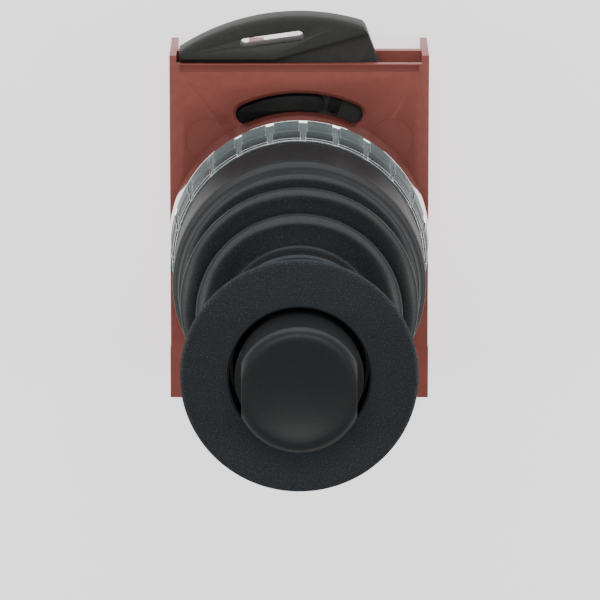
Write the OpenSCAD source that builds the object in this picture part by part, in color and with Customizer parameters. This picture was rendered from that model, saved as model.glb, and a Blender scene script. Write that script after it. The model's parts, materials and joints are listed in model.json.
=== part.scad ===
// Industrial joystick: a 22 mm panel operator with a booted cardan lever,
// a push-button in its grip, four direction plungers and one centre plunger,
// and a clip-on holder with a swinging locking lever.
// Origin on the lever axis in the panel's front face, +Z out of the panel,
// +Y toward the locking lever.

/* [Panel] */
// Diameter of the threadless barrel that passes the panel hole
barrel_d = 22; // [21:0.1:22.2]
// Space between gasket and holder for the panel and its shim
panel_gap = 3.7; // [2:0.1:6]

/* [Holder] */
// Width over the two side walls
holder_w = 30; // [29.6:0.1:34]
// Height of the front plate
plate_h = 39.6; // [38:0.1:40]
// How far the side walls stand out over the front plate's upper edge
wall_over = 1; // [0.8:0.1:1.8]
// Thickness of the side walls
wall_t = 0.8; // [0.6:0.05:1]
// Thickness of the front plate
plate_t = 1.3; // [1:0.1:2]
// Height of the chamber that the locking lever swings in
chamber_h = 3.7; // [3.2:0.1:5]
// Thickness of the rear plate
rear_t = 1.5; // [1:0.1:2.5]
// Depth of the bays behind the rear plate
bay_depth = 5.85; // [4.5:0.05:9]
// Pitch of the three contact block bays
bay_pitch = 10.05; // [9.8:0.05:10.3]
// Thickness of the fins between the bays
fin_t = 1.75; // [1:0.05:2]
// Length of each fin along the bay
fin_len = 7.2; // [4:0.1:8]
// Radial clearance of the barrel in the holder
barrel_clear = 0.3; // [0.2:0.05:0.5]

/* [Locking lever] */
// Angle of the lever from the holder's centre line when locked
lock_angle = 8; // [6:0.5:9]
// Radius of the grip's outer arc
lever_r = 25.3; // [24.8:0.1:27]
// Rounding of the grip's upper edge
grip_edge = 0.5; // [0.2:0.05:0.8]
// Thickness of the lever's plate
lever_t = 2.6; // [2:0.1:2.7]
// Length of the tool slot
key_len = 7.4; // [4:0.1:9]
// Width of the tool slot
key_w = 1.2; // [0.8:0.1:1.6]
// Inner radius of the guide rib
rib_r = 14.3; // [14.2:0.1:14.5]
// Radial width of the guide rib
rib_w = 1.7; // [1:0.1:2]
// Half angle of the guide rib
rib_half = 19; // [12:1:19]
// Radial depth of the bayonet lugs
lug_h = 0.85; // [0.5:0.05:0.9]

/* [Bezel] */
// Diameter of the bezel at the panel
bezel_d = 30; // [29.6:0.1:32]
// Height of the smooth ring
bezel_h = 4.7; // [4:0.1:6]
// Height of the notched collar
collar_h = 8.5; // [7:0.1:10]
// Total narrowing of the radius over ring and collar
bezel_taper = 0.6; // [0.3:0.05:0.6]
// Number of notches round the collar
notch_n = 24; // [12:1:36]
// Width of a notch
notch_w = 0.95; // [0.5:0.05:1.4]
// Depth of a notch
notch_d = 0.3; // [0.15:0.05:0.3]
// Thickness of the gasket
gasket_t = 0.8; // [0.6:0.1:1]

/* [Boot] */
// Wall of the rubber boot
boot_wall = 0.9; // [0.7:0.05:1]
// How far the skirt stands out over the collar's bore
skirt_out = 0.2; // [0.1:0.05:0.3]
// Height of the first fold over the panel
fold_z = 24.6; // [23:0.1:26]
// Radius of the neck below the grip
neck_r = 7.7; // [7.6:0.05:8.2]
// Height of the boot's top edge
neck_z = 50; // [49.5:0.1:50.5]

/* [Cardan joint] */
// Height of the pivot over the panel
pivot_z = 8; // [7.8:0.1:8.6]
// Largest tilt about each axis in degrees
tilt = 10; // [6:0.5:10]
// Space between hub and ring
hub_gap = 1.4; // [1.2:0.1:1.6]
// Radial width of the ring
ring_w = 2.4; // [2:0.1:2.6]
// Space between ring and cup
cup_gap = 1.6; // [1.4:0.1:1.8]
// Height of ring and hub
ring_h = 5.2; // [4.4:0.1:5.4]
// Radius of the cardan pins
pin_r = 1.2; // [0.9:0.05:1.4]
// Radial running clearance of pins, plungers and rod
run = 0.05; // [0.03:0.01:0.08]

/* [Lever] */
// Radius of the lever tube
tube_r = 3.5; // [3.2:0.1:3.7]
// Radius of the push rod
rod_r = 1.4; // [1:0.05:1.6]
// How far the rocker plate reaches past the plungers' axes
rocker_over = 2.2; // [2:0.1:2.4]
// Thickness of the rocker plate
rocker_t = 1.8; // [1.2:0.1:2]

/* [Plungers] */
// Distance of the four plungers from the axis
plunger_ring = 6.4; // [6.2:0.05:6.5]
// Radius of a plunger
plunger_r = 1.5; // [1.1:0.05:1.6]
// How far the plungers stand out behind the rear plate
plunger_out = 2.4; // [1:0.1:4]

/* [Grip] */
// Diameter of the grip disc
disc_d = 24.6; // [22:0.1:28]
// Height of the disc's front face over the panel
disc_z = 67.9; // [66:0.1:72]
// Thickness of the disc's rim
rim_t = 1.7; // [1.2:0.1:2.5]
// Radius of the bore round the button
grip_bore_r = 7.25; // [7.1:0.05:7.5]

/* [Button] */
// Radius of the button
button_r = 6.63; // [6:0.01:6.7]
// Height of the button over the disc
button_h = 6.5; // [5:0.1:8]
// Distance over the button's two flats
flat_w = 11.8; // [10.4:0.1:12.6]
// Radius of the thumb dish
dish_r = 5.3; // [4:0.05:5.4]
// Depth of the thumb dish
dish_d = 0.85; // [0.2:0.05:1]
// Travel of the button
travel = 3; // [1:0.1:3]

/* [Hidden] */

$fn = 96;
eps = 0.01;
gap = 0.3;

// holder levels, from the front plate back
holder_z = -panel_gap;
chamber_z = holder_z - plate_t;
rear_z = chamber_z - chamber_h;
seat_z = rear_z - rear_t;
edge_z = seat_z - bay_depth;
wall_top = plate_h / 2 + wall_over;
wall_x = holder_w / 2 - wall_t;
barrel_r = barrel_d / 2;
hole_r = barrel_r + barrel_clear;

// locking lever levels and swing
swing = lock_angle + 6;
lens_in = plate_h / 2 + gap;
lever_top = chamber_z - gap;
lever_low = rear_z + gap;
grip_top = holder_z - 0.4;
plate_low = lever_low + 0.1;
lever_bore = barrel_r + 0.35;
ring_rim = wall_x - 2 * gap;
lever_half = lever_r * sin(asin((wall_x - gap) / lever_r) - lock_angle);
slot_half = rib_half + lock_angle + 1.5;
lug_half = 5.5;

// body levels
bezel_r = bezel_d / 2;
collar_in = bezel_r - 1.2;
skirt_r = collar_in + skirt_out;
cup_r = collar_in - 1;
cup_in = cup_r - 1.8;
barrel_in = barrel_r - 1.7;
cup_top = bezel_h + collar_h - 0.2;
gate_t = 1;
gate_z = cup_top + gate_t;
barrel_end = seat_z + gap;
groove_r = lever_bore - lug_h - 0.35;
clip_t = 0.6;
guide_z = barrel_end + 2.3;

// front of the collar and the narrowing of its flank
collar_z = bezel_h + collar_h;

// cardan joint
ring_out = cup_in - cup_gap;
ring_in = ring_out - ring_w;
hub_r = ring_in - hub_gap;
rocker_r = plunger_ring + rocker_over;

// lever levels
rocker_z = pivot_z - 7.2;
ring_low = pivot_z - ring_h / 2;
ring_top = pivot_z + ring_h / 2;
stem_r = 3.2;
hub_top = ring_top + 1.8;
grip_floor = 57.6;
tube_top = grip_floor - 0.6;
tube_low = pivot_z + 1;
retainer_z = 29.6;
retainer_t = 1.4;
retainer_r = tube_r + 3;

// return spring and its seat
seat_r = cup_r - 2.2;
seat_w = 3.2;
seat_lip = 1.4;
return_wire = 0.55;

// button levels
button_z = disc_z + button_h;
skirt_low = grip_floor + travel + 0.4;
skirt_t = 1;
stop_z = skirt_low + skirt_t + gap;
button_roof = disc_z + 2.2;

// plunger levels
plunger_top = rocker_z - 0.6;
collar_top = plunger_top - 1;
plunger_end = seat_z - plunger_out;
centre_top = rocker_z - 1.7;
centre_r = plunger_r + 2.1;
rod_end = rocker_z - 1.2;
rod_head = rod_r + 1;

// radius of the bezel's flank at a height over the panel
function flank(z) = bezel_r - bezel_taper * z / collar_z;

// a smooth line of n steps between each two given points
function curve(p, n) = [for (i = [0 : len(p) - 2], k = [0 : n - 1])
    let (a = p[max(i - 1, 0)], b = p[i], c = p[i + 1],
        d = p[min(i + 2, len(p) - 1)], t = k / n)
    0.5 * (2 * b + (c - a) * t + (2 * a - 5 * b + 4 * c - d) * t * t
        + (3 * b - a - 3 * c + d) * t * t * t)];

// points of a round edge of radius r about c, from angle a to b
function arc(c, r, a, b, n = 6) = [for (i = [0 : n])
    let (t = a + (b - a) * i / n) c + r * [cos(t), sin(t)]];

function backwards(p) = [for (i = [len(p) - 1 : -1 : 0]) p[i]];

module turn(points) {
    rotate_extrude() polygon(points);
}

module ring(r_in, r_out, z0, z1) {
    rotate_extrude() translate([r_in, z0]) square([r_out - r_in, z1 - z0]);
}

// a bent bar with round ends between two angles, its edges as wide at the
// upper height and narrower by cut below it
module bent_bar(r_in, r_out, z0, z1, a0, a1, cut = 0) {
    mid = (r_in + r_out) / 2;
    w = (r_out - r_in) / 2;
    end = asin(w / mid);
    rotate([0, 0, a0 + end]) rotate_extrude(angle = a1 - a0 - 2 * end)
        polygon([[mid - w + cut, z0], [mid + w - cut, z0],
            [mid + w, z1], [mid - w, z1]]);
    for (a = [a0 + end, a1 - end]) rotate([0, 0, a]) translate([mid, 0, z0])
        cylinder(r1 = w - cut, r2 = w, h = z1 - z0, $fn = 48);
}

// part of a ring between two angles, counted from +X
module sector(r_in, r_out, z0, z1, a0, a1) {
    rotate([0, 0, a0]) rotate_extrude(angle = a1 - a0)
        translate([r_in, z0]) square([r_out - r_in, z1 - z0]);
}

module block(x0, x1, y0, y1, z0, z1) {
    translate([x0, y0, z0]) cube([x1 - x0, y1 - y0, z1 - z0]);
}

// a coil of round wire, its ends' radii and heights on the wire's middle
module coil(r0, r1, z0, z1, turns, wire, steps = 14, sides = 6) {
    n = turns * steps;
    rings = [for (i = [0 : n], k = [0 : sides - 1])
        let (t = i / n, a = 360 * i / steps, b = 360 * k / sides,
            r = r0 + (r1 - r0) * t + wire * cos(b))
        [r * cos(a), r * sin(a), z0 + (z1 - z0) * t + wire * sin(b)]];
    sides_f = [for (i = [0 : n - 1], k = [0 : sides - 1])
        let (a = i * sides + k, b = i * sides + (k + 1) % sides)
        [a, b, b + sides, a + sides]];
    first = [for (k = [sides - 1 : -1 : 0]) k];
    last = [for (k = [0 : sides - 1]) n * sides + k];
    polyhedron(rings, concat(sides_f, [first, last]), convexity = 10);
}

// ---- holder ----

module arc_slot() {
    side = 0.35;
    cut = 0.4;
    more = asin(cut / (rib_r + rib_w / 2));
    bent_bar(rib_r - side, rib_r + rib_w + side, chamber_z - 1,
        holder_z + 1, 90 - slot_half, 90 + slot_half);
    // bevelled rim
    bent_bar(rib_r - side - cut, rib_r + rib_w + side + cut, holder_z - cut,
        holder_z + eps, 90 - slot_half - more, 90 + slot_half + more, cut);
}

module fins() {
    for (sx = [-1, 1], sy = [0, 1]) mirror([0, sy, 0]) {
        x0 = sx * bay_pitch / 2 - fin_t / 2;
        y1 = sy == 0 ? wall_top : plate_h / 2;
        block(x0, x0 + fin_t, y1 - fin_len, y1, edge_z, seat_z);
        // catch that a contact block snaps over
        block(x0 - 0.4, x0 + fin_t + 0.4, y1 - 2.4, y1 - 0.8,
            edge_z, edge_z + 1);
    }
}

module mounting_flange() {
    color("#83463d") difference() {
        union() {
            block(-wall_x, wall_x, -plate_h / 2, plate_h / 2,
                chamber_z, holder_z);
            block(-wall_x, wall_x, -plate_h / 2 + 0.3, wall_top - 0.3,
                seat_z, rear_z);
            for (s = [0, 1]) mirror([s, 0, 0]) {
                block(wall_x, holder_w / 2, -plate_h / 2, wall_top,
                    edge_z, holder_z);
                block(wall_x, holder_w / 2 + 0.07, -plate_h / 2,
                    -plate_h / 2 + 5.9, edge_z, holder_z);
            }
            // end wall of the lever's chamber
            block(-wall_x, wall_x, -plate_h / 2, -plate_h / 2 + 1,
                seat_z, holder_z);
            fins();
        }
        translate([0, 0, seat_z - 1])
            cylinder(r = hole_r, h = holder_z - seat_z + 2);
        arc_slot();
        // relief along the top edge of the front plate
        block(-wall_x + 0.4, wall_x - 0.4, plate_h / 2 - 0.9,
            plate_h / 2 - 0.15, holder_z - 0.2, holder_z + 1);
        // ejector marks
        for (s = [-1, 1]) translate([s * (wall_x - 3.5), 10.9, 0])
            ring(2.35, 2.5, holder_z - 0.06, holder_z + 1);
        // windows behind the lever for the contact blocks' hooks
        for (x = [-1, 0, 1], y = [-1, 1])
            block(x * bay_pitch - 2.2, x * bay_pitch + 2.2,
                y * 16.6 - 1, y * 16.6 + 1, seat_z - 1, rear_z + 1);
    }
}

// ---- locking lever ----

// the half of the plane beyond y = 0, with a rounded upper edge
module soft_bank(z0, z1, e) {
    rotate([90, 0, 90]) linear_extrude(60, center = true)
        polygon(concat(arc([e, z1 - e], e, 180, 90), [[30, z1], [30, z0], [0, z0]]));
}

// a disc whose upper edge is rounded off
module soft_disc(r, z0, z1, e) {
    turn(concat([[0, z0], [r, z0]], arc([r - e, z1 - e], e, 0, 90),
        [[0, z1]]));
}

module lever_outline() {
    x = lever_half;
    y = sqrt(lever_r * lever_r - x * x);
    polygon(concat([[-x + 1.4, 4], [-x, 18], [-x, lever_r + 1],
        [x - 2.4, lever_r + 1]], arc([x - 1.4, y - 1], 1.6, 66, 14, 4),
        [[x + 0.5, 20.6], [x + 1.1, 18], [x + 0.8, 4]]));
}

module locking_lever() {
    low = plate_low - 1;
    color("#262626") rotate([0, 0, lock_angle]) difference() {
        union() {
            // ring that turns on the barrel
            ring(lever_bore, ring_rim, lever_low, lever_top);
            // plate of the arm, wholly inside the chamber
            intersection() {
                translate([0, 0, plate_low]) linear_extrude(lever_t)
                    lever_outline();
                soft_disc(lever_r, low, plate_low + lever_t, 0.5);
            }
            // raised lens for the finger
            intersection() {
                translate([0, 0, plate_low])
                    linear_extrude(grip_top - plate_low) lever_outline();
                soft_disc(lever_r, low, grip_top, grip_edge);
                // two flanks, one of them along the plate when locked
                intersection_for (s = [-1, 1]) rotate([0, 0, s * lock_angle])
                    translate([0, lens_in, 0])
                        soft_bank(low, grip_top, grip_edge);
            }
            // guide rib that rides in the front plate's slot
            bent_bar(rib_r, rib_r + rib_w, plate_low + 1, grip_top,
                90 - rib_half, 90 + rib_half);
            sector(rib_r, rib_r + rib_w, plate_low + 1, lever_top,
                90 - rib_half - 7, 90 - rib_half - 2);
        }
        translate([0, 0, low])
            cylinder(r = lever_bore, h = grip_top - low + 1);
        // slot for a screwdriver's blade
        translate([0, lever_r - 2.5, low]) {
            s = (key_len - key_w) / 2;
            block(-s, s, -key_w / 2, key_w / 2, 0, 9);
            for (x = [-s, s]) translate([x, 0, 0])
                cylinder(d = key_w, h = 9);
        }
    }
    // bayonet lugs that hold the barrel
    color("#262626") for (a = [0, 180])
        sector(groove_r + 0.35, lever_bore + 0.5, lever_low + 0.4,
            lever_top - 0.6, a - lug_half, a + lug_half);
}

// ---- operator body, gasket, bezel, collar ----

module operator_body() {
    f = gasket_t + 1.2;
    color("#202124") difference() {
        turn([[barrel_in + 0.2, barrel_end], [barrel_r - 0.4, barrel_end],
            [barrel_r, barrel_end + 0.4], [barrel_r, gasket_t],
            [cup_r + 1.2, gasket_t], [cup_r + 1.2, f], [cup_r, f],
            [cup_r, cup_top], [cup_in, cup_top], [cup_in, gasket_t + 1.1],
            [barrel_in, 0], [barrel_in, guide_z],
            [barrel_in + 0.2, guide_z]]);
        // groove and two entries of the bayonet
        ring(groove_r, barrel_r + 1, lever_low + 0.1, lever_top - 0.3);
        for (a = [0, 180])
            sector(groove_r + 0.05, barrel_r + 1, barrel_end - 1,
                lever_low + 0.3, a - swing - 7.2, a - swing + 7.2);
        // seats of the trunnion pins
        translate([-20, 0, pivot_z]) rotate([0, 90, 0])
            cylinder(r = pin_r, h = 40);
    }
}

module panel_gasket() {
    color("#1a1a1a") ring(barrel_r + 0.1, bezel_r - 0.4, 0, gasket_t);
}

module bezel_ring() {
    f = gasket_t + 1.3;
    color("#c9ccd0") turn(concat([[bezel_r - 0.3, 0.2]],
        arc([bezel_r - 0.2, 0.4], 0.2, -90, 0, 3),
        arc([flank(bezel_h) - 0.25, bezel_h - 0.25], 0.25, 0, 90, 3),
        [[cup_r + 0.05, bezel_h], [cup_r + 0.05, f], [cup_r + 1.3, f],
            [cup_r + 1.3, gasket_t + 0.1], [bezel_r - 0.3, gasket_t + 0.1]]));
}

module collar_ring() {
    z1 = bezel_h + 4.6;
    lean = atan(bezel_taper / collar_z);
    color("#c9ccd0") difference() {
        turn([[collar_in + 0.4, bezel_h], [flank(bezel_h) - 0.15, bezel_h],
            [flank(bezel_h), bezel_h + 0.15], [flank(z1), z1],
            [flank(z1) - 0.08, z1 + 0.1],
            [flank(collar_z) - 0.05, collar_z - 0.3],
            [flank(collar_z) - 0.25, collar_z], [collar_in + 0.15, collar_z],
            [collar_in, collar_z - 0.15], [collar_in, bezel_h + 1.6],
            [collar_in + 0.4, bezel_h + 1.3]]);
        for (i = [0 : notch_n - 1]) rotate([0, 0, 360 * i / notch_n + 88.3])
            translate([flank(bezel_h), 0, bezel_h]) rotate([0, -lean, 0]) {
                block(-notch_d, 1, -notch_w / 2, notch_w / 2, -1, 4.9);
                block(-notch_d, 1, -notch_w / 3, notch_w / 3, 4, 20);
            }
    }
}

// ---- boot ----

// how far each point of the folds lies inside the skirt and over the first
// fold, on a boot that narrows by 6.3 mm
fold_steps = [[0, 0.1], [0.35, 0.8], [0.55, 1.7], [0.65, 2.7], [0.95, 3.8],
    [1.6, 5], [2.2, 7.2], [1, 9.7], [1.6, 11.7], [3.4, 13.2], [2.8, 14.8],
    [3.6, 16.7], [5.3, 18.5], [5.6, 19.5], [5.9, 21.2], [6.3, 23]];

// radius and height over the panel of the boot's line, from the foot up
function folds() = let (fall = (skirt_r - neck_r) / 6.3)
    concat([[skirt_r, collar_z + 0.5], [skirt_r + 0.05, fold_z - 5.6],
        [skirt_r + 0.1, fold_z - 1.6]],
        [for (p = fold_steps) [skirt_r - fall * p[0], fold_z + p[1]]],
        [[neck_r, neck_z]]);

module boot() {
    line = concat(curve(folds(), 4), [[neck_r, neck_z]]);
    foot = cup_r + 0.1;
    outer = concat([[foot, bezel_h + 0.15], [collar_in + 0.3, bezel_h + 0.15],
        [collar_in + 0.3, bezel_h + 1.2], [collar_in - 0.1, bezel_h + 1.5],
        [collar_in - 0.1, collar_z + 0.1]], line);
    inner = [for (p = line) [p[0] - boot_wall, p[1]]];
    color("#1d1e20")
        turn(concat(outer, backwards(inner), [[foot, collar_z + 0.3]]));
}

// ---- gate, cardan joint and lever ----

module gate_plate() {
    half = tube_r + (gate_z - pivot_z) * tan(tilt) / cos(tilt) + 0.38;
    color("#3a3d40") difference() {
        ring(0, cup_r - 0.2, cup_top, gate_z);
        block(-half, half, -half, half, cup_top - 1, gate_z + 1);
    }
}

module trunnion_pins() {
    color("#b9bcc0") for (s = [0, 1]) mirror([s, 0, 0])
        translate([ring_in + 0.4, 0, pivot_z]) rotate([0, 90, 0])
            cylinder(r = pin_r, h = cup_r - ring_in - 0.5);
}

module gimbal_ring() {
    c = 0.4;
    color("#c8a24a") difference() {
        turn([[ring_in, ring_low + c], [ring_in + c, ring_low],
            [ring_out - c, ring_low], [ring_out, ring_low + c],
            [ring_out, ring_top - c], [ring_out - c, ring_top],
            [ring_in + c, ring_top], [ring_in, ring_top - c]]);
        translate([-20, 0, pivot_z]) rotate([0, 90, 0])
            cylinder(r = pin_r + run, h = 40);
        translate([0, 20, pivot_z]) rotate([90, 0, 0])
            cylinder(r = pin_r, h = 40);
    }
}

module hub_pins() {
    color("#b9bcc0") for (s = [0, 1]) mirror([0, s, 0])
        translate([0, ring_out - 0.2, pivot_z]) rotate([90, 0, 0])
            cylinder(r = pin_r, h = ring_out - 0.2 - stem_r - 0.5);
}

module lever_hub() {
    color("#8f9499") difference() {
        turn([[rod_r + 0.4, rocker_z + 0.2], [stem_r, rocker_z + 0.2],
            [stem_r, ring_low], [hub_r - 0.3, ring_low],
            [hub_r, ring_low + 0.3], [hub_r, ring_top],
            [tube_r + 0.8, hub_top], [tube_r, hub_top],
            [tube_r, tube_low], [rod_r + 0.4, tube_low]]);
        for (s = [0, 1]) mirror([0, s, 0])
            translate([0, stem_r + 0.1, pivot_z]) rotate([-90, 0, 0])
                cylinder(r = pin_r + run, h = 10);
    }
}

module rocker_plate() {
    lobe = 2.6;
    color("#8f9499") difference() {
        intersection() {
            soft_disc(rocker_r, rocker_z, rocker_z + rocker_t, 0.3);
            union() {
                ring(0, 5.6, rocker_z, rocker_z + rocker_t);
                for (a = [0, 90]) rotate([0, 0, a])
                    block(-20, 20, -lobe, lobe, rocker_z,
                        rocker_z + rocker_t);
            }
        }
        translate([0, 0, rocker_z - 1]) cylinder(r = stem_r, h = 9);
    }
}

module lever_tube() {
    color("#b9bcc0") difference() {
        ring(rod_r + run, tube_r, tube_low, tube_top);
        // groove of the retainer's clip
        ring(tube_r - 0.3, tube_r + 1, retainer_z + retainer_t,
            retainer_z + retainer_t + 0.7);
    }
}

module spring_seat() {
    inner = seat_r - seat_w;
    color("#a9adb2") turn([[inner, gate_z], [seat_r, gate_z],
        [seat_r, gate_z + 0.6], [inner + 0.7, gate_z + 0.6],
        [inner + 0.7, gate_z + seat_lip], [inner, gate_z + seat_lip]]);
}

module return_spring() {
    wire = return_wire;
    color("#b9bcc0") coil(seat_r - 1.4, retainer_r - 1.3,
        gate_z + 0.65 + wire, retainer_z - 0.1 - wire, 6, wire);
}

module spring_retainer() {
    color("#a9adb2") turn([[tube_r, retainer_z - 2], [tube_r + 0.7,
        retainer_z - 2], [tube_r + 0.7, retainer_z],
        [retainer_r, retainer_z], [retainer_r, retainer_z + 0.9],
        [tube_r + 1.6, retainer_z + retainer_t],
        [tube_r, retainer_z + retainer_t]]);
}

module retainer_clip() {
    z = retainer_z + retainer_t;
    color("#6f7378") difference() {
        ring(tube_r - 0.28, tube_r + 1.3, z + 0.02, z + 0.66);
        block(0, 20, -1.6, 1.6, z - 1, z + 2);
    }
}

module boot_clip() {
    color("#6f7378") ring(neck_r + 0.1, neck_r + 0.7,
        neck_z - 2.6, neck_z - 1.2);
}

// ---- grip, button and push rod ----

module grip() {
    disc_r = disc_d / 2;
    e = 0.45;
    low = neck_z - 4.5;
    sleeve_r = neck_r - boot_wall - 0.15;
    under = curve([[disc_r - 1.6, disc_z - rim_t],
        [disc_r - 3.2, disc_z - rim_t - 1.1], [8.5, disc_z - rim_t - 3.6],
        [8.2, disc_z - rim_t - 7], [8.2, neck_z + 0.5]], 5);
    color("#32363a") difference() {
        turn(concat([[tube_r, low], [sleeve_r - 0.4, low],
            [sleeve_r, low + 0.4], [sleeve_r, neck_z + 0.5]],
            backwards(under),
            arc([disc_r - e - 0.4, disc_z - rim_t + e], e, -90, -18, 4),
            arc([disc_r - e, disc_z - e], e, 0, 90, 4),
            [[grip_bore_r + 0.2, disc_z], [grip_bore_r, disc_z - 0.2],
            [grip_bore_r, grip_floor], [rod_r + 0.1, grip_floor],
            [rod_r + 0.1, tube_top], [tube_r, tube_top]]));
        // groove of the button's stop ring
        ring(grip_bore_r - 0.5, grip_bore_r + 0.35, stop_z, stop_z + 0.8);
    }
}

module button() {
    ball = (dish_r * dish_r + dish_d * dish_d) / (2 * dish_d);
    e = 1.1;
    color("#26282b") difference() {
        turn(concat([[0, skirt_low], [grip_bore_r - run, skirt_low],
            [grip_bore_r - run, skirt_low + skirt_t],
            [button_r, skirt_low + skirt_t]],
            arc([button_r - e, button_z - e], e, 0, 90, 7),
            [[0, button_z]]));
        translate([0, 0, button_z + ball - dish_d]) sphere(r = ball, $fn = 128);
        // room for the spring
        translate([0, 0, skirt_low - 1])
            cylinder(r = 4.6, h = button_roof - skirt_low + 1);
        // two flats
        for (s = [0, 1]) mirror([s, 0, 0])
            block(flat_w / 2, 9, -9, 9, disc_z + 0.5, button_z + 1);
    }
}

module button_stop_ring() {
    color("#6f7378") difference() {
        ring(button_r + gap, grip_bore_r + 0.33, stop_z + 0.02,
            stop_z + 0.78);
        block(-1.2, 1.2, 0, 20, stop_z - 1, stop_z + 2);
    }
}

module button_spring() {
    wire = 0.35;
    color("#b9bcc0") coil(3.3, 3.3, grip_floor + 0.1 + wire,
        button_roof - 0.1 - wire, 6, wire);
}

module push_rod() {
    color("#b9bcc0") {
        turn(concat([[0, rod_end]],
            arc([rod_r - 0.5, rod_end + 0.5], 0.5, -90, 0, 4),
            [[rod_r, button_roof - 1.2], [rod_head, button_roof - 1.2],
            [rod_head, button_roof], [0, button_roof]]));
    }
}

// ---- plungers ----

module plunger_guide() {
    color("#2b2d30") difference() {
        ring(0, barrel_in + 0.15, barrel_end + clip_t, guide_z);
        translate([0, 0, barrel_end - 1])
            cylinder(r = plunger_r + run, h = 9);
        for (a = [0 : 90 : 270]) rotate([0, 0, a])
            translate([plunger_ring, 0, barrel_end - 1])
                cylinder(r = plunger_r + run, h = 9);
    }
}

module guide_ring() {
    color("#6f7378") difference() {
        ring(barrel_in - 0.8, barrel_in + 0.15, barrel_end,
            barrel_end + clip_t);
        block(4, 20, 4, 9, barrel_end - 1, barrel_end + 2);
    }
}

module side_plunger(a) {
    e = 0.6;
    head = plunger_r + 0.75;
    color("#d9d4c4") rotate([0, 0, a]) translate([plunger_ring, 0, 0])
        turn(concat([[0, plunger_end], [plunger_r - 0.3, plunger_end],
            [plunger_r, plunger_end + 0.3], [plunger_r, collar_top - 0.8],
            [head, collar_top - 0.8], [head, collar_top],
            [plunger_r, collar_top]],
            arc([plunger_r - e, plunger_top - e], e, 0, 90, 5),
            [[0, plunger_top]]));
}

module side_spring(a) {
    wire = 0.22;
    color("#b9bcc0") rotate([0, 0, a]) translate([plunger_ring, 0, 0])
        coil(plunger_r + 0.45, plunger_r + 0.45, guide_z + 0.1 + wire,
            collar_top - 0.9 - wire, 5, wire, 12, 5);
}

module plunger_north() { side_plunger(90); }
module plunger_south() { side_plunger(270); }
module plunger_east() { side_plunger(0); }
module plunger_west() { side_plunger(180); }

module plunger_centre() {
    color("#d9d4c4") turn([[0, plunger_end], [plunger_r - 0.3, plunger_end],
        [plunger_r, plunger_end + 0.3], [plunger_r, centre_top - 1],
        [centre_r - 0.3, centre_top - 1], [centre_r, centre_top - 0.7],
        [centre_r, centre_top], [0, centre_top]]);
}

module spring_north() { side_spring(90); }
module spring_south() { side_spring(270); }
module spring_east() { side_spring(0); }
module spring_west() { side_spring(180); }

module spring_centre() {
    wire = 0.25;
    color("#b9bcc0") coil(plunger_r + 0.7, plunger_r + 0.7, guide_z + 0.1 + wire,
        centre_top - 1.1 - wire, 4, wire, 12, 5);
}

mounting_flange();
locking_lever();
operator_body();
panel_gasket();
bezel_ring();
collar_ring();
boot();
gate_plate();
trunnion_pins();
gimbal_ring();
hub_pins();
lever_hub();
rocker_plate();
lever_tube();
spring_seat();
return_spring();
spring_retainer();
retainer_clip();
boot_clip();
grip();
button();
button_stop_ring();
button_spring();
push_rod();
plunger_guide();
guide_ring();
plunger_north();
plunger_south();
plunger_east();
plunger_west();
plunger_centre();
spring_north();
spring_south();
spring_east();
spring_west();
spring_centre();
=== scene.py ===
"""Industrial joystick on a plain floor.

Gives every piece a procedural finish, makes the boot in two parts and the springs, and
sets a soft studio.
"""

import json
import math

import bmesh
import bpy
from mathutils import Matrix, Vector


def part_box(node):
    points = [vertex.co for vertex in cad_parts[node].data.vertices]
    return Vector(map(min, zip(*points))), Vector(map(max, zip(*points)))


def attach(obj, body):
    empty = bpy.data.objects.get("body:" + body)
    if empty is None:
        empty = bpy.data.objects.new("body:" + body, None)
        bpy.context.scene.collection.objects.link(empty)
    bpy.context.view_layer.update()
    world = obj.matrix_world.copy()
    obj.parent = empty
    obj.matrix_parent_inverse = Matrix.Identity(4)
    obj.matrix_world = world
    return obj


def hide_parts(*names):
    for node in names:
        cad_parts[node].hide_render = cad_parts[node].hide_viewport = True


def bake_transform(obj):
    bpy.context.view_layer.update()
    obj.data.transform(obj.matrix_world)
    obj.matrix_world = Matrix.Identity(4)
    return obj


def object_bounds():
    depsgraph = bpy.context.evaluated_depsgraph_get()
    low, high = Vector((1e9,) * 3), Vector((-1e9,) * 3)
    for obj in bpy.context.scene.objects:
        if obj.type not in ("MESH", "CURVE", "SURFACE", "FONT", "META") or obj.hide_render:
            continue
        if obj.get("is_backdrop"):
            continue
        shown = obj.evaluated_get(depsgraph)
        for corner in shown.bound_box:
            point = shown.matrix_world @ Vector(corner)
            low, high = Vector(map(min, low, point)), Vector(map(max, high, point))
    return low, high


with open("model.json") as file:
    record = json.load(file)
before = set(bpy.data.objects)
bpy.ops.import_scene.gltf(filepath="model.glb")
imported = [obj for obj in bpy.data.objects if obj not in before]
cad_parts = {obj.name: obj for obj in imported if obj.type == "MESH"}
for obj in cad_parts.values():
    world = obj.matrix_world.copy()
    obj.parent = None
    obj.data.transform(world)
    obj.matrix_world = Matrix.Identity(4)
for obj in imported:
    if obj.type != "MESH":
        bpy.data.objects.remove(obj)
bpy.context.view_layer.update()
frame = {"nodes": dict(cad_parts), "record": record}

bl_info = {
    "name": "Industrial joystick",
    "version": (1, 0, 0),
    "blender": (4, 5, 0),
    "location": "3D View > Sidebar > Joystick",
    "description": "Builds the finishes, the rubber boot and the studio of a panel joystick",
    "category": "Object",
}

MM = 0.001
# Points of a mesh that are nearer than this are one point
SAME_POINT = 0.001 * MM
# Edges of a CAD piece are rounded where its faces meet at more than this angle
SHARP = math.radians(28)
# and are taken away where they meet at less than this one
FLAT = math.radians(0.6)


# ---------------------------------------------------------------- sizes and colours


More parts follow.
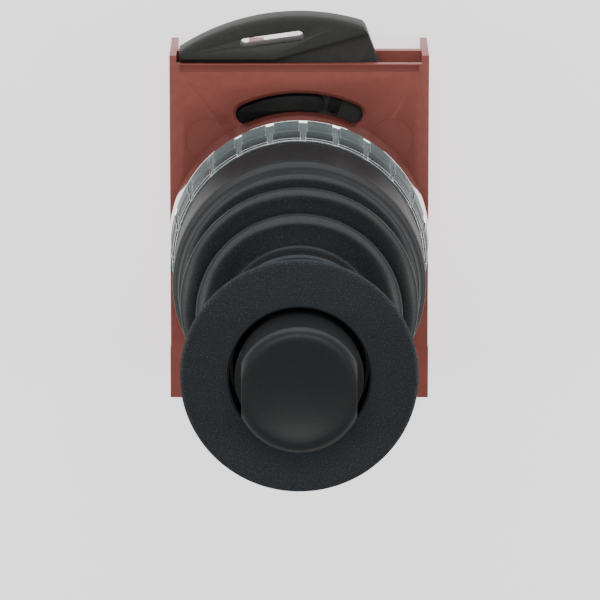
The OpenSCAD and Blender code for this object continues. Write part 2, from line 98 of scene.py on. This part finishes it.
class BootSizes(bpy.types.PropertyGroup):
    """Sizes of the rubber boot, in metres over the panel's front face."""

    skirt_radius: bpy.props.FloatProperty(
        name="Skirt radius", description="Radius where the boot leaves the collar",
        default=14.0 * MM, unit="LENGTH")
    fold_height: bpy.props.FloatProperty(
        name="First fold", description="Height of the first fold over the panel",
        default=24.6 * MM, unit="LENGTH")
    neck_radius: bpy.props.FloatProperty(
        name="Neck radius", description="Radius of the neck below the grip",
        default=7.7 * MM, unit="LENGTH")
    wall: bpy.props.FloatProperty(
        name="Wall", description="Thickness of the rubber",
        default=0.8 * MM, unit="LENGTH")
    around: bpy.props.IntProperty(
        name="Steps around", description="Faces round the boot", default=144)


class EdgeSizes(bpy.types.PropertyGroup):
    """Rounding of the moulded and machined edges."""

    holder: bpy.props.FloatProperty(
        name="Holder", description="Rounding of the holder's edges",
        default=0.14 * MM, unit="LENGTH")
    lever: bpy.props.FloatProperty(
        name="Locking lever", description="Rounding of the locking lever's edges",
        default=0.12 * MM, unit="LENGTH")
    collar: bpy.props.FloatProperty(
        name="Collar", description="Rounding of the collar's notches",
        default=0.11 * MM, unit="LENGTH")
    grip: bpy.props.FloatProperty(
        name="Grip and button", description="Rounding of the grip's and button's edges",
        default=0.1 * MM, unit="LENGTH")


class FinishColours(bpy.types.PropertyGroup):
    """Base colours of the finishes."""

    holder: bpy.props.FloatVectorProperty(
        name="Holder", description="Red-brown moulded plastic", subtype="COLOR",
        size=3, default=(0.222, 0.061, 0.048))
    black: bpy.props.FloatVectorProperty(
        name="Black plastic", description="Locking lever and body", subtype="COLOR",
        size=3, default=(0.046, 0.046, 0.0445))
    rubber: bpy.props.FloatVectorProperty(
        name="Rubber", description="Boot", subtype="COLOR",
        size=3, default=(0.0150, 0.0160, 0.0170))
    disc: bpy.props.FloatVectorProperty(
        name="Grip disc", description="Blue-grey textured plastic", subtype="COLOR",
        size=3, default=(0.0235, 0.0275, 0.0315))
    button: bpy.props.FloatVectorProperty(
        name="Button", description="Smooth black plastic", subtype="COLOR",
        size=3, default=(0.020, 0.021, 0.022))
    # painted reflection: the colour of the collar's chrome flanks mirroring a dark room
    smoked: bpy.props.FloatVectorProperty(
        name="Painted chrome reflection", description="Flanks of the notched collar", subtype="COLOR",
        size=3, default=(0.092, 0.118, 0.120))
    chrome: bpy.props.FloatVectorProperty(
        name="Chrome", description="Bezel and collar", subtype="COLOR",
        size=3, default=(0.80, 0.81, 0.82))


class StudioSettings(bpy.types.PropertyGroup):
    """Camera, lights and floor."""

    camera_distance: bpy.props.FloatProperty(
        name="Camera distance", description="From the middle of the holder's front plate",
        default=0.6, unit="LENGTH")
    camera_tilt: bpy.props.FloatProperty(
        name="Camera tilt", description="Angle off the lever's axis towards the locking lever",
        default=math.radians(12), subtype="ANGLE")
    camera_lower: bpy.props.FloatProperty(
        name="Camera aim", description="How far the camera aims below the lever's axis",
        default=math.radians(0.755), subtype="ANGLE")
    camera_lens: bpy.props.FloatProperty(
        name="Focal length", description="In millimetres for a 36 mm sensor", default=309.6)
    key_power: bpy.props.FloatProperty(
        name="Key light", description="Power of the large light above the part", default=1.3)
    side_power: bpy.props.FloatProperty(
        name="Side lights", description="Power of the two strips beside the part", default=1.5)
    top_power: bpy.props.FloatProperty(
        name="Top light", description="Power of the low strip beyond the locking lever",
        default=1.3)
    surround: bpy.props.FloatProperty(
        name="Surround", description="Brightness of the white surroundings", default=0.38)
    floor_glow: bpy.props.FloatProperty(
        name="Floor glow", description="How far the floor is lit from behind", default=1.2)


class JoystickSettings(bpy.types.PropertyGroup):
    """Everything a user would change."""

    boot: bpy.props.PointerProperty(type=BootSizes, name="Boot")
    edges: bpy.props.PointerProperty(type=EdgeSizes, name="Edges")
    colours: bpy.props.PointerProperty(type=FinishColours, name="Colours")
    studio: bpy.props.PointerProperty(type=StudioSettings, name="Studio")


def settings():
    """The add-on's settings in this scene."""
    return bpy.context.scene.joystick


# ---------------------------------------------------------------- shader groups


def new_group(name, inputs, outputs):
    """An empty shader group with float inputs and float outputs."""
    group = bpy.data.node_groups.new(name, "ShaderNodeTree")
    for label, value in inputs:
        socket = group.interface.new_socket(
            label, in_out="INPUT", socket_type="NodeSocketFloat")
        socket.default_value = value
    for label in outputs:
        group.interface.new_socket(
            label, in_out="OUTPUT", socket_type="NodeSocketFloat")
    return group, group.nodes.new("NodeGroupInput"), group.nodes.new("NodeGroupOutput")


def maths(tree, operation, a, b, clamp=False):
    """One Math node whose two inputs are sockets or numbers."""
    node = tree.nodes.new("ShaderNodeMath")
    node.operation, node.use_clamp = operation, clamp
    for socket, value in zip(node.inputs, (a, b)):
        if isinstance(value, bpy.types.NodeSocket):
            tree.links.new(value, socket)
        else:
            socket.default_value = value
    return node.outputs[0]


def object_point(tree):
    """The point on the piece, in the frame's metres."""
    return tree.nodes.new("ShaderNodeTexCoord").outputs["Object"]


def noise(tree, point, scale, detail, rough=0.5):
    """A noise from 0 to 1 at a point, with its scale from a socket."""
    node = tree.nodes.new("ShaderNodeTexNoise")
    node.inputs["Detail"].default_value = detail
    node.inputs["Roughness"].default_value = rough
    tree.links.new(point, node.inputs["Vector"])
    tree.links.new(scale, node.inputs["Scale"])
    return node.outputs["Fac"]


def grain_group():
    """Eroded mould texture: a height of fine grains, a mask of specks and one of clouds."""
    found = bpy.data.node_groups.get("mould_grain")
    if found:
        return found
    group, given, made = new_group(
        "mould_grain", [("Grain scale", 3000.0), ("Cloud scale", 90.0)],
        ["Height", "Grains", "Clouds"])
    place = object_point(group)
    fine = noise(group, place, given.outputs["Grain scale"], 2.0, 0.6)
    coarse = noise(
        group, place, maths(group, "MULTIPLY", given.outputs["Grain scale"], 0.31), 2.0)
    group.links.new(
        maths(group, "ADD", maths(group, "MULTIPLY", fine, 0.65),
              maths(group, "MULTIPLY", coarse, 0.35)), made.inputs["Height"])
    group.links.new(
        maths(group, "MULTIPLY", maths(group, "SUBTRACT", fine, 0.56), 9.0, True),
        made.inputs["Grains"])
    group.links.new(
        noise(group, place, given.outputs["Cloud scale"], 3.0), made.inputs["Clouds"])
    return group


def wear_and_highlight_group():
    """A mask high on outward edges, broken up by noise: edge wear and a painted highlight."""
    found = bpy.data.node_groups.get("edge_wear")
    if found:
        return found
    group, given, made = new_group(
        "edge_wear", [("Start", 0.52), ("Gain", 12.0), ("Break up", 900.0)], ["Wear"])
    bend = group.nodes.new("ShaderNodeNewGeometry").outputs["Pointiness"]
    edge = maths(group, "MULTIPLY",
                 maths(group, "SUBTRACT", bend, given.outputs["Start"]),
                 given.outputs["Gain"], True)
    patches = noise(group, object_point(group), given.outputs["Break up"], 3.0, 0.6)
    group.links.new(
        maths(group, "MULTIPLY", edge, maths(group, "ADD", patches, 0.2), True),
        made.inputs["Wear"])
    return group


# ---------------------------------------------------------------- materials


def place_group(tree, group, **values):
    """One use of a shader group; an underscore in a name stands for a space."""
    node = tree.nodes.new("ShaderNodeGroup")
    node.node_tree = group
    for label, value in values.items():
        node.inputs[label.replace("_", " ")].default_value = value
    return node


def blended(tree, mask, low, high):
    """A colour that goes from low, a colour or a socket, to the colour high."""
    mix = tree.nodes.new("ShaderNodeMix")
    mix.data_type = "RGBA"
    tree.links.new(mask, mix.inputs["Factor"])
    if isinstance(low, bpy.types.NodeSocket):
        tree.links.new(low, mix.inputs["A"])
    else:
        mix.inputs["A"].default_value = (*low, 1)
    mix.inputs["B"].default_value = (*high, 1)
    return mix.outputs["Result"]


def spread(tree, value, low, high, start=0.0, end=1.0):
    """A number that goes from low to high while the value goes from start to end."""
    node = tree.nodes.new("ShaderNodeMapRange")
    for label, number in (("From Min", start), ("From Max", end),
                          ("To Min", low), ("To Max", high)):
        node.inputs[label].default_value = number
    tree.links.new(value, node.inputs["Value"])
    return node.outputs["Result"]


def relief(tree, height, depth, strength):
    """A bumped normal from a height; depth is in millimetres."""
    bump = tree.nodes.new("ShaderNodeBump")
    bump.inputs["Strength"].default_value = strength
    bump.inputs["Distance"].default_value = depth * MM
    tree.links.new(height, bump.inputs["Height"])
    return bump.outputs["Normal"]


def shade(colour, by):
    """A colour made lighter or darker."""
    return tuple(c * by for c in colour)


def blank(name):
    """A new material with its node tree and its Principled node."""
    material = bpy.data.materials.new(name)
    material.use_nodes = True
    return material, material.node_tree, material.node_tree.nodes["Principled BSDF"]


def dress(tree, skin, colour, rough, normal):
    """Links a colour, a roughness and a normal to the Principled node."""
    for socket, label in ((colour, "Base Color"), (rough, "Roughness"), (normal, "Normal")):
        tree.links.new(socket, skin.inputs[label])


def moulded(name, colour, rough, grain, depth, strength, fleck=1.15, cloud=0.06,
            wear_and_highlight=1.6, specular=0.5, shy=False, front=1.0):
    """Moulded plastic or rubber: cloudy colour, fine grain, flecks and paler edges.

    Cloud is how far the colour strays, fleck is how much lighter the specks are, and the
    edge factor is how much lighter the outward edges are, partly as wear and partly as a
    painted highlight. A shy surface is too rough to mirror the floor at a grazing angle;
    front is the share of its shine where it faces the eye.
    """
    material, tree, skin = blank(name)
    texture = place_group(tree, grain_group(), Grain_scale=grain, Cloud_scale=110.0)
    clouds = texture.outputs["Clouds"]
    # outward edges are painted lighter, partly as wear and partly as a painted highlight
    rub_and_highlight = place_group(tree, wear_and_highlight_group())
    base = blended(tree, clouds, shade(colour, 1 - cloud), shade(colour, 1 + cloud))
    specked = blended(tree, texture.outputs["Grains"], base, shade(colour, fleck))
    worn_and_highlit = blended(tree, rub_and_highlight.outputs["Wear"], specked, shade(colour, wear_and_highlight))
    dress(tree, skin, worn_and_highlit, spread(tree, clouds, rough - 0.05, rough + 0.05),
          relief(tree, texture.outputs["Height"], depth, strength))
    skin.inputs["Specular IOR Level"].default_value = specular
    if shy:
        edge = tree.nodes.new("ShaderNodeLayerWeight")
        edge.inputs["Blend"].default_value = 0.5
        facing = edge.outputs["Facing"]
        fade = spread(tree, facing, specular, 0.01, start=0.25, end=0.6)
        rise = spread(tree, facing, front, 1.0, start=0.06, end=0.3)
        tree.links.new(maths(tree, "MULTIPLY", fade, rise),
                       skin.inputs["Specular IOR Level"])
    return material


def plated(name, colour, rough, haze=0.03):
    """Plated metal: faint haze and a slow ripple from polishing."""
    material, tree, skin = blank(name)
    skin.inputs["Metallic"].default_value = 1.0
    texture = place_group(tree, grain_group(), Grain_scale=700.0, Cloud_scale=160.0)
    clouds = texture.outputs["Clouds"]
    dress(tree, skin, blended(tree, clouds, shade(colour, 0.95), colour),
          spread(tree, clouds, rough, rough + haze),
          relief(tree, texture.outputs["Height"], 0.002, 0.3))
    return material


def turned(name, colour, rough):
    """Turned or drawn metal: fine rings round the lever's axis."""
    material, tree, skin = blank(name)
    skin.inputs["Metallic"].default_value = 1.0
    texture = place_group(tree, grain_group(), Grain_scale=1800.0, Cloud_scale=200.0)
    clouds = texture.outputs["Clouds"]
    rings = tree.nodes.new("ShaderNodeTexWave")
    rings.wave_type, rings.bands_direction = "BANDS", "Z"
    rings.inputs["Scale"].default_value = 900.0
    rings.inputs["Distortion"].default_value = 1.5
    tree.links.new(object_point(tree), rings.inputs["Vector"])
    dress(tree, skin, blended(tree, clouds, shade(colour, 0.85), colour),
          spread(tree, clouds, rough - 0.06, rough + 0.06),
          relief(tree, rings.outputs["Fac"], 0.004, 0.2))
    return material


def smoked(name, colour, rough, **details):
    """Painted reflection of chrome in a dark room, darker towards the collar's upper edge."""
    material = moulded(name, colour, rough, **details)
    tree = material.node_tree
    base = tree.nodes["Principled BSDF"].inputs["Base Color"]
    low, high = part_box("collar_ring")
    parts = tree.nodes.new("ShaderNodeSeparateXYZ")
    tree.links.new(object_point(tree), parts.inputs["Vector"])
    dim = tree.nodes.new("ShaderNodeVectorMath")
    dim.operation = "SCALE"
    tree.links.new(base.links[0].from_socket, dim.inputs[0])
    tree.links.new(
        spread(tree, parts.outputs["Z"], 1.0, 0.22, start=low.z + 2 * MM, end=high.z),
        dim.inputs["Scale"])
    tree.links.new(dim.outputs["Vector"], base)
    return material


def recipe(name):
    """The maker of a finish, its colour, its roughness and its details."""
    c = settings().colours
    return {
        "holder_red": (moulded, c.holder, 0.42, dict(
            grain=2600, depth=0.006, strength=0.2, fleck=1.05, cloud=0.05, wear_and_highlight=1.5,
            specular=0.25)),
        "lever_black": (moulded, c.black, 0.4, dict(
            grain=2600, depth=0.008, strength=0.25, specular=0.12, shy=True)),
        # painted shade: the lever's faces down in the holder's arc slot
        "slot_black": (moulded, shade(c.black, 0.22), 0.4, dict(
            grain=2600, depth=0.008, strength=0.25, wear_and_highlight=2.5, specular=0.08, shy=True)),
        "folded_rubber": (moulded, c.rubber, 0.36, dict(
            grain=5200, depth=0.022, strength=0.4, fleck=2.0, wear_and_highlight=1.3, specular=0.3,
            shy=True, front=0.2)),
        "disc_plastic": (moulded, c.disc, 0.55, dict(
            grain=7600, depth=0.025, strength=0.6, fleck=3.0, cloud=0.05, wear_and_highlight=1.8,
            specular=0.15, shy=True)),
        "thumb_plastic": (moulded, c.button, 0.38, dict(
            grain=5200, depth=0.012, strength=0.3, fleck=1.25, wear_and_highlight=1.3, specular=0.25,
            shy=True)),
        "bright_chrome": (plated, c.chrome, 0.05, {}),
        # painted highlight: the collar's rounded edges in chrome brighter than the rest
        "edge_chrome": (plated, shade(c.chrome, 1.15), 0.32, dict(haze=0.08)),
        # painted reflection: the collar's flanks and notch floors are plastic in chrome's
        # reflected colours
        "smoked_chrome": (smoked, c.smoked, 0.3, dict(
            grain=2400, depth=0.01, strength=0.25, fleck=1.25, cloud=0.15, wear_and_highlight=1.5,
            specular=0.35, shy=True)),
        "notch_chrome": (moulded, shade(c.smoked, 1.1), 0.3, dict(
            grain=5200, depth=0.05, strength=0.9, fleck=3.0, cloud=0.3, wear_and_highlight=1.5,
            shy=True)),
        "body_black": (moulded, c.black, 0.45, dict(
            grain=2400, depth=0.01, strength=0.3, wear_and_highlight=1.8)),
        "seal_rubber": (moulded, (0.010, 0.010, 0.010), 0.62, dict(
            grain=2000, depth=0.02, strength=0.4)),
        "bright_steel": (turned, (0.56, 0.57, 0.58), 0.3, {}),
        "spring_wire": (plated, (0.45, 0.46, 0.48), 0.24, dict(haze=0.08)),
        "ring_brass": (turned, (0.60, 0.42, 0.15), 0.3, {}),
        "plunger_ivory": (moulded, (0.62, 0.57, 0.45), 0.4, dict(
            grain=2400, depth=0.006, strength=0.2, fleck=0.95, wear_and_highlight=1.1)),
    }[name]


def finish_of(name):
    """The finish with this name, made the first time it is asked for."""
    found = bpy.data.materials.get(name)
    if found:
        return found
    maker, colour, rough, details = recipe(name)
    return maker(name, colour, rough, **details)


# ---------------------------------------------------------------- mesh helpers


def put(name, data):
    """A new object in the scene."""
    obj = bpy.data.objects.new(name, data)
    bpy.context.scene.collection.objects.link(obj)
    return obj


def paint(obj, finish):
    """Gives an object one finish in all its slots."""
    if obj.material_slots:
        for held in obj.material_slots:
            held.material = finish_of(finish)
    else:
        obj.data.materials.append(finish_of(finish))


def merged(node, distance):
    """A CAD node's mesh as a bmesh, with its doubled points merged."""
    bm = bmesh.new()
    bm.from_mesh(frame["nodes"][node].data)
    bmesh.ops.remove_doubles(bm, verts=bm.verts, dist=distance)
    return bm


def keep(bm, name, finish, smooth_angle=35.0):
    """Turns a bmesh into a new shaded object at the origin."""
    mesh = bpy.data.meshes.new(name)
    bm.to_mesh(mesh)
    bm.free()
    obj = put(name, mesh)
    mesh.materials.append(finish_of(finish))
    mesh.polygons.foreach_set("use_smooth", [True] * len(mesh.polygons))
    mesh.set_sharp_from_angle(angle=math.radians(smooth_angle))
    return obj


def softened(node, name, width, finish, edge_finish=None, segments=3, crisp=None):
    """A copy of a CAD node with its sharp edges rounded, in the node's place.

    The rounded edges can have a finish of their own, and crisp picks edges by their
    middle that stay sharp.
    """
    bm = merged(node, 2 * SAME_POINT)
    bmesh.ops.dissolve_limit(
        bm, angle_limit=FLAT, verts=bm.verts, edges=bm.edges, delimit={"NORMAL"})
    sharp = [e for e in bm.edges
             if len(e.link_faces) == 2
             and e.calc_face_angle(0.0) > SHARP
             and not (crisp and crisp((e.verts[0].co + e.verts[1].co) / 2))]
    made = bmesh.ops.bevel(
        bm, geom=sharp, offset=width, offset_type="OFFSET", affect="EDGES",
        segments=segments, profile=0.5, clamp_overlap=True, material=-1)
    if edge_finish:
        for face in made["faces"]:
            face.material_index = 1
    obj = keep(bm, name, finish)
    if edge_finish:
        obj.data.materials.append(finish_of(edge_finish))
    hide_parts(node)
    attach(obj, body_named(node))
    return obj


def body_named(node):
    """The body that carries a CAD node."""
    for body, nodes in frame["record"]["behaviour"]["bodies"].items():
        if node in nodes:
            return body
    raise RuntimeError(f"no body carries {node}")


def smooth_line(points, steps):
    """A flowing (Catmull-Rom) line through the points, in so many steps for each span."""
    line = []
    for i in range(len(points) - 1):
        a, b = points[max(i - 1, 0)], points[i]
        c, d = points[i + 1], points[min(i + 2, len(points) - 1)]
        for k in range(steps):
            t = k / steps
            line.append(
                0.5 * (2 * b + (c - a) * t + (2 * a - 5 * b + 4 * c - d) * t * t
                       + (3 * b - a - 3 * c + d) * t ** 3))
    line.append(points[-1])
    return line


def spun(outline, around):
    """A solid of revolution round the lever's axis from a closed outline of points."""
    bm = bmesh.new()
    verts = [bm.verts.new(p) for p in outline]
    edges = [bm.edges.new(pair) for pair in zip(verts, verts[1:] + verts[:1])]
    bmesh.ops.spin(
        bm, geom=verts + edges, cent=(0, 0, 0), axis=(0, 0, 1),
        angle=2 * math.pi, steps=around, use_merge=True)
    bmesh.ops.remove_doubles(bm, verts=bm.verts, dist=SAME_POINT)
    bmesh.ops.recalc_face_normals(bm, faces=bm.faces)
    return bm


# ---------------------------------------------------------------- operators


class JOYSTICK_OT_holder(bpy.types.Operator):
    """Rounds the edges of the red-brown holder"""

    bl_idname = "joystick.holder"
    bl_label = "Holder"

    def execute(self, context):
        # the two ejector marks on the front plate: sharp and very shallow rings
        mark, reach = Vector((10.7 * MM, 10.9 * MM)), 2.7 * MM
        cad_depths, depth = (0.02 * MM, 0.1 * MM), 0.015 * MM

        def on_mark(p):
            return (Vector((abs(p.x), p.y)) - mark).length < reach

        holder = softened("mounting_flange", "holder_moulding", settings().edges.holder,
                          "holder_red", crisp=on_mark)
        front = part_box("mounting_flange")[1].z
        for vertex in holder.data.vertices:
            sunk = front - vertex.co.z
            if on_mark(vertex.co) and cad_depths[0] < sunk < cad_depths[1]:
                vertex.co.z = front - depth
        return {"FINISHED"}


class JOYSTICK_OT_locking_lever(bpy.types.Operator):
    """Rounds the edges of the black locking lever"""

    bl_idname = "joystick.locking_lever"
    bl_label = "Locking lever"

    def execute(self, context):
        lever = softened("locking_lever", "locking_lever_moulding",
                         settings().edges.lever, "lever_black")
        lever.data.materials.append(finish_of("slot_black"))
        # painted shade: the faces that show through the holder's arc slot, down in its recess,
        # are painted darker than the lever's grip
        slot_reach = 17 * MM
        points = lever.data.vertices
        for face in lever.data.polygons:
            if all(math.hypot(*points[i].co.xy) < slot_reach for i in face.vertices):
                face.material_index = 1
        return {"FINISHED"}


class JOYSTICK_OT_bezel(bpy.types.Operator):
    """Plates the smooth ring and paints the notched collar with a painted reflection"""

    bl_idname = "joystick.bezel"
    bl_label = "Bezel"

    def execute(self, context):
        paint(frame["nodes"]["bezel_ring"], "bright_chrome")
        collar = softened("collar_ring", "collar_plating", settings().edges.collar,
                          "smoked_chrome", "edge_chrome", segments=2)
        collar.data.materials.append(finish_of("notch_chrome"))
        # flanks and notch floors take the painted reflection, rounded edges the painted
        # highlight
        flank, edge, notch = range(3)
        low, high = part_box("collar_ring")
        for face in collar.data.polygons:
            place, normal = face.center, face.normal
            out = math.hypot(place.x, place.y)
            share = (place.z - low.z) / (high.z - low.z)
            # rounded faces that don't look along the rim are no outline of a notch, and take
            # the flank's painted reflection instead of the painted highlight
            level = abs(place.x * normal.y - place.y * normal.x) < 0.2 * out
            # the collar tapers, and a notch's floor lies further in than its flank
            notch_floor = high.x - (0.25 + 0.4 * share) * MM
            if face.material_index == edge and 0.1 < share < 0.96 and level:
                face.material_index = flank
            elif face.material_index == flank and out < notch_floor:
                face.material_index = notch
        return {"FINISHED"}


class JOYSTICK_OT_boot(bpy.types.Operator):
    """Makes the folded rubber boot in two parts, split in a fold's waist"""

    bl_idname = "joystick.boot"
    bl_label = "Boot"

    def execute(self, context):
        s = settings().boot
        r, z, neck = s.skirt_radius, s.fold_height, s.neck_radius
        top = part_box("boot")[1].z
        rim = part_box("collar_ring")[1].z
        # millimetres inwards from the skirt, stretched so that the last one meets the
        # neck, and millimetres up from the first fold
        folds = ((0, 0.1), (0.35, 0.8), (0.55, 1.6), (0.63, 2.6), (0.72, 3.5),
                 (1.05, 4.2), (1.8, 4.75), (2.6, 5.2), (2.8, 6.2), (2.2, 7.2),
                 (1.3, 8.6), (1.0, 9.7),
                 (1.15, 10.7), (1.65, 11.4), (2.6, 11.9), (3.7, 12.2), (3.9, 12.9),
                 (3.2, 13.9), (2.8, 14.8), (2.95, 16.0), (3.5, 16.9), (4.5, 17.4),
                 (5.6, 17.8), (6.0, 18.5), (6.2, 19.6), (6.3, 21))
        fall = (r - neck) / (folds[-1][0] * MM)
        # up inside the collar, out over its rim, along the skirt, the folds and the neck
        steps = [
            (r - 0.3 * MM, rim - 6 * MM), (r - 0.3 * MM, rim - 0.2 * MM),
            (r, rim + 0.5 * MM), (r + 0.05 * MM, z - 5.6 * MM),
            (r + 0.1 * MM, z - 1.6 * MM),
            *((r - fall * x * MM, z + y * MM) for x, y in folds),
            (neck, z + 23 * MM), (neck, top),
        ]
        line = smooth_line([Vector((x, 0, y)) for x, y in steps], 6)
        # the boot is split in a fold's waist
        crease = z + 7.2 * MM
        for name, part, bodies, ends in (
            ("boot_skirt", [p for p in line if p.z <= crease + SAME_POINT],
             ("housing", "cardan_ring"), (rim, crease)),
            ("boot_neck", [p for p in line if p.z >= crease - SAME_POINT],
             ("cardan_ring", "lever"), (crease, top - 4 * MM)),
        ):
            inside = [p - Vector((s.wall, 0, 0)) for p in reversed(part)]
            obj = keep(spun(part + inside, s.around), name, "folded_rubber", 50.0)
            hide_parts("boot")
            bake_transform(obj)
        return {"FINISHED"}


class JOYSTICK_OT_grip(bpy.types.Operator):
    """Rounds and finishes the grip disc and the button"""

    bl_idname = "joystick.grip"
    bl_label = "Grip and button"

    def execute(self, context):
        paint(frame["nodes"]["grip"], "disc_plastic")
        softened("button", "button_cap", settings().edges.grip, "thumb_plastic")
        return {"FINISHED"}


def wind(node, ending, start, end):
    """The part of a spring between two heights, as a piece of its own."""
    bm = merged(node, SAME_POINT)
    low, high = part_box(node)
    # a height inside the spring is where it is cut; an end is left whole
    for height, up in ((min(start, end), -1), (max(start, end), 1)):
        if low.z + MM < height < high.z - MM:
            bmesh.ops.bisect_plane(
                bm, geom=bm.verts[:] + bm.edges[:] + bm.faces[:], dist=1e-7,
                plane_co=(0, 0, height), plane_no=(0, 0, up), clear_outer=True)
    coil = keep(bm, node + ending, "spring_wire", 60.0)
    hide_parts(node)
    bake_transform(coil)


class JOYSTICK_OT_springs(bpy.types.Operator):
    """Winds the springs between the two bodies that each one joins"""

    bl_idname = "joystick.springs"
    bl_label = "Springs"

    def execute(self, context):
        # the boot has an operator of its own
        wound = {"boot"}
        for joint in frame["record"]["behaviour"]["joints"]:
            for held in joint.get("deforming_nodes", ()):
                node = held["node"]
                if node in wound:
                    continue
                wound.add(node)
                low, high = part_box(node)
                fixed = held["fixed_end_z_m"]
                moving = high.z if fixed < (low.z + high.z) / 2 else low.z
                if node == "return_spring":  # it crosses both tilt joints
                    middle = (fixed + moving) / 2
                    wind(node, "_lower", fixed, middle)
                    wind(node, "_upper", middle, moving)
                else:
                    wind(node, "_coil", fixed, moving)
        return {"FINISHED"}


class JOYSTICK_OT_inner_works(bpy.types.Operator):
    """Finishes the body, the seal, the cardan joint, the clips and the plungers"""

    bl_idname = "joystick.inner_works"
    bl_label = "Inner works"

    def execute(self, context):
        groups = {
            "body_black": ["operator_body", "plunger_guide", "button_stop_ring"],
            "disc_plastic": ["boot_clip"],
            "seal_rubber": ["panel_gasket"],
            "bright_steel": ["gate_plate", "trunnion_pins", "hub_pins", "lever_hub",
                             "rocker_plate", "lever_tube", "spring_seat",
                             "spring_retainer", "push_rod"],
            "ring_brass": ["gimbal_ring"],
            "spring_wire": ["retainer_clip", "guide_ring"],
            "plunger_ivory": ["plunger_north", "plunger_south", "plunger_east",
                              "plunger_west", "plunger_centre"],
        }
        for finish, nodes in groups.items():
            for node in nodes:
                paint(frame["nodes"][node], finish)
        return {"FINISHED"}


def lay_floor(glow):
    """A wide pale floor just under the part, lit from behind."""
    size, gap = 2.5, 0.0001
    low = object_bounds()[0].z
    bm = bmesh.new()
    bmesh.ops.create_grid(bm, x_segments=1, y_segments=1, size=size)
    bmesh.ops.translate(bm, verts=bm.verts, vec=(0, 0, low - gap))
    mesh = bpy.data.meshes.new("studio_floor")
    bm.to_mesh(mesh)
    bm.free()
    material, _, skin = blank("pale_floor")
    skin.inputs["Base Color"].default_value = (0.9, 0.9, 0.9, 1)
    skin.inputs["Roughness"].default_value = 0.9
    skin.inputs["Emission Color"].default_value = (1, 1, 1, 1)
    skin.inputs["Emission Strength"].default_value = glow
    mesh.materials.append(material)
    put("studio_floor", mesh)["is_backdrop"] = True


def surround(strength):
    """An even white world."""
    world = bpy.data.worlds.new("white_surround")
    world.use_nodes = True
    background = world.node_tree.nodes["Background"]
    background.inputs["Color"].default_value = (1, 1, 1, 1)
    background.inputs["Strength"].default_value = strength
    bpy.context.scene.world = world


def hang_light(name, place, aim, width, height, power):
    """A rectangular softbox at a place, turned to its aim."""
    light = bpy.data.lights.new(name, "AREA")
    light.shape, light.size, light.size_y = "RECTANGLE", width, height
    light.energy = power
    obj = put(name, light)
    obj.location = place
    obj.rotation_euler = (Vector(aim) - Vector(place)).to_track_quat("-Z", "Y").to_euler()


def set_camera(s):
    """A long lens over the part, tilted towards the locking lever."""
    data = bpy.data.cameras.new("camera")
    data.lens, data.sensor_width = s.camera_lens, 36.0
    data.clip_start, data.clip_end = 0.05, 10.0
    camera = put("camera", data)
    tilt, lower = s.camera_tilt, s.camera_lower
    middle = Vector((0, 0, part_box("mounting_flange")[1].z))
    back = Vector((0, math.sin(tilt), math.cos(tilt)))
    up = Vector((0, math.cos(tilt), -math.sin(tilt)))
    aside = Vector((0.00014, 0, 0))  # aims a little to the right
    look = -back * math.cos(lower) - up * math.sin(lower) + aside
    axis_x = look.cross(up).normalized()
    axis_y = axis_x.cross(look).normalized()
    turn = Matrix((axis_x, axis_y, -look.normalized())).transposed().to_4x4()
    camera.matrix_world = Matrix.Translation(middle + back * s.camera_distance) @ turn
    bpy.context.scene.camera = camera


class JOYSTICK_OT_studio(bpy.types.Operator):
    """Lays the pale floor, hangs the soft lights and sets the camera"""

    bl_idname = "joystick.studio"
    bl_label = "Studio"

    def execute(self, context):
        s = settings().studio
        lay_floor(s.floor_glow)
        surround(s.surround)
        hang_light("key", (0, 0.24, 0.62), (0, 0, 0.03), 0.45, 0.28, s.key_power)
        hang_light("top_strip", (0, 0.6, 0.13), (0, 0, 0.03), 0.6, 0.2, s.top_power)
        for name, x in (("left_strip", -0.55), ("right_strip", 0.55)):
            hang_light(name, (x, 0, 0.16), (0, 0, 0.02), 0.2, 0.6, s.side_power)
        set_camera(s)
        return {"FINISHED"}


class JOYSTICK_PT_panel(bpy.types.Panel):
    """Lists the settings and the steps"""

    bl_idname = "JOYSTICK_PT_panel"
    bl_label = "Joystick"
    bl_space_type = "VIEW_3D"
    bl_region_type = "UI"
    bl_category = "Joystick"

    def draw(self, context):
        layout = self.layout
        held = context.scene.joystick
        for title in ("boot", "edges", "colours", "studio"):
            box = layout.box()
            box.label(text=title.capitalize())
            group = getattr(held, title)
            for key in group.bl_rna.properties.keys():
                if key not in ("rna_type", "name"):
                    box.prop(group, key)
        for step in STEPS:
            layout.operator(step.bl_idname)


STEPS = (
    JOYSTICK_OT_holder,
    JOYSTICK_OT_locking_lever,
    JOYSTICK_OT_bezel,
    JOYSTICK_OT_boot,
    JOYSTICK_OT_grip,
    JOYSTICK_OT_springs,
    JOYSTICK_OT_inner_works,
    JOYSTICK_OT_studio,
)
CLASSES = (BootSizes, EdgeSizes, FinishColours, StudioSettings, JoystickSettings,
           *STEPS, JOYSTICK_PT_panel)


def register():
    """Registers the settings, the operators and the panel."""
    for item in CLASSES:
        bpy.utils.register_class(item)
    bpy.types.Scene.joystick = bpy.props.PointerProperty(type=JoystickSettings)


def unregister():
    """Takes everything out again."""
    del bpy.types.Scene.joystick
    for item in reversed(CLASSES):
        bpy.utils.unregister_class(item)


def main():
    """Makes every step's pieces."""
    register()
    for step in STEPS:
        group, name = step.bl_idname.split(".")
        getattr(getattr(bpy.ops, group), name)()


if __name__ == "__main__":
    main()
